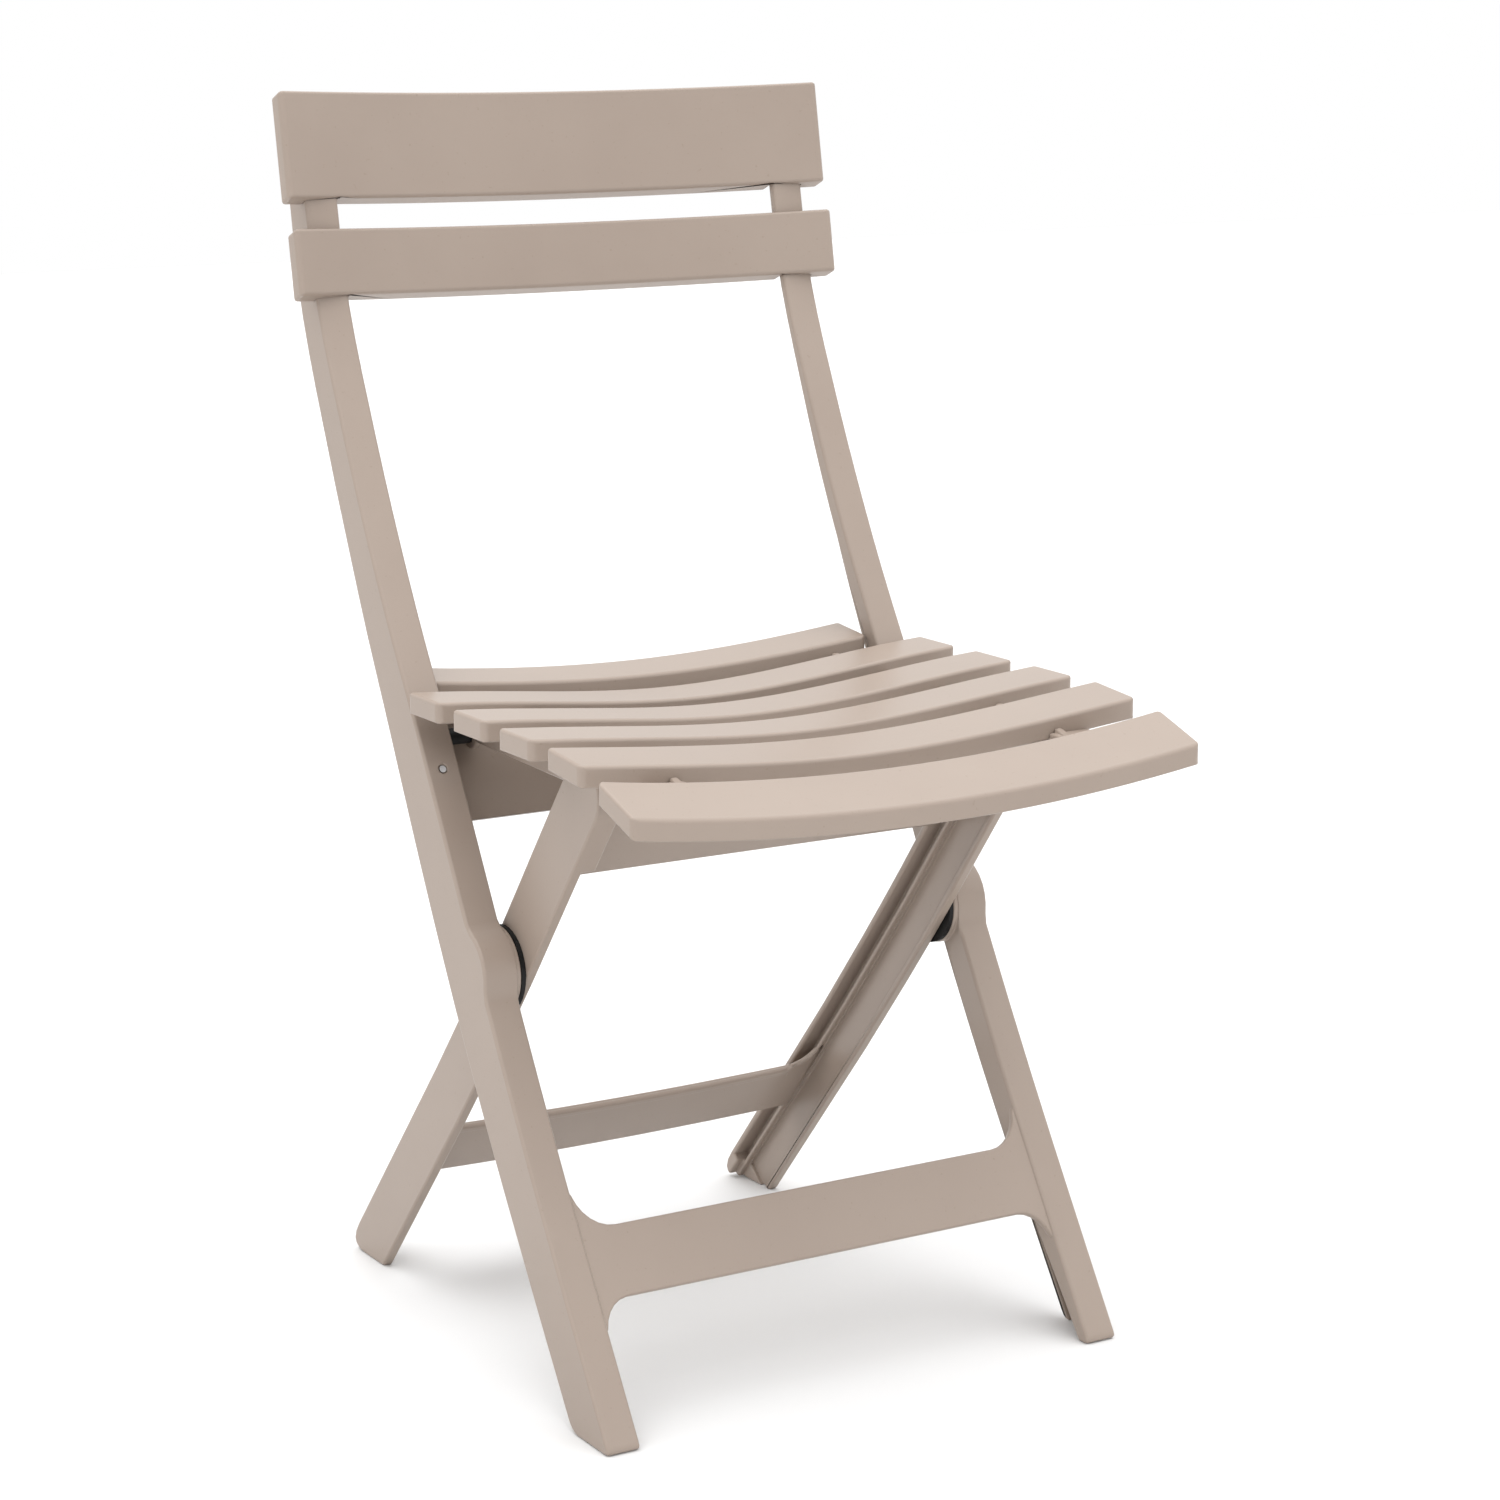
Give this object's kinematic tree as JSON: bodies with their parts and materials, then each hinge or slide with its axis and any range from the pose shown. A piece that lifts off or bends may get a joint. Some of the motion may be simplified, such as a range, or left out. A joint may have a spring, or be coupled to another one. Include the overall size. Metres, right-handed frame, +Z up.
{
  "type": "folding chair",
  "caption": "Folding garden chair in moulded resin: slatted dished seat, two curved back slats, crossing channel-section legs and a rear leg frame that folds with the seat.",
  "frame": {"origin": "centre of the bounding box, at the floor under the feet", "axes": "+Z up, -Y towards the front of the seat, +X to the chair's left hand side seen from the front"},
  "size_m": [0.4254, 0.5078, 0.83],
  "materials": {
    "resin": "moulded, satin, fine grain, beige",
    "black_nylon": "moulded, black",
    "steel": "zinc plated"
  },
  "bodies": {
    "main_frame": {"left_stile": "resin", "right_stile": "resin", "front_lower_panel": "resin", "rear_cross_panel": "resin", "back_top_slat": "resin", "back_lower_slat": "resin", "left_hub_pin": "steel", "right_hub_pin": "steel", "left_hub_washer": "black_nylon", "right_hub_washer": "black_nylon", "left_slide_stop": "black_nylon", "right_slide_stop": "black_nylon", "left_stop_screw": "steel", "right_stop_screw": "steel"},
    "leg_frame": {"left_rear_leg": "resin", "right_rear_leg": "resin", "leg_lower_rail": "resin", "leg_apron": "resin", "left_hinge_pin": "steel", "right_hinge_pin": "steel"},
    "seat": {"left_seat_rail": "resin", "left_slide_pin": "steel", "left_slide_shoe": "black_nylon", "left_slide_spacer": "black_nylon", "right_seat_rail": "resin", "right_slide_pin": "steel", "right_slide_shoe": "black_nylon", "right_slide_spacer": "black_nylon", "seat_slat_1": "resin", "seat_slat_2": "resin", "seat_slat_3": "resin", "seat_slat_4": "resin", "seat_slat_5": "resin", "seat_slat_6": "resin"}
  },
  "joints": [
    {"name": "leg_fold", "type": "hinge", "parent": "main_frame", "child": "leg_frame", "pos_m": [0, -0.00575, 0.2685], "axis": [-1, 0, 0], "range_deg": [0, 60]},
    {"name": "seat_fold", "type": "hinge", "parent": "leg_frame", "child": "seat", "pos_m": [0, -0.11025, 0.404], "axis": [1, 0, 0], "range_deg": [0, 114.3]}
  ],
  "couplings": [
    {"joint": "seat_fold", "follows": "leg_fold", "ratio": 1.905}
  ]
}
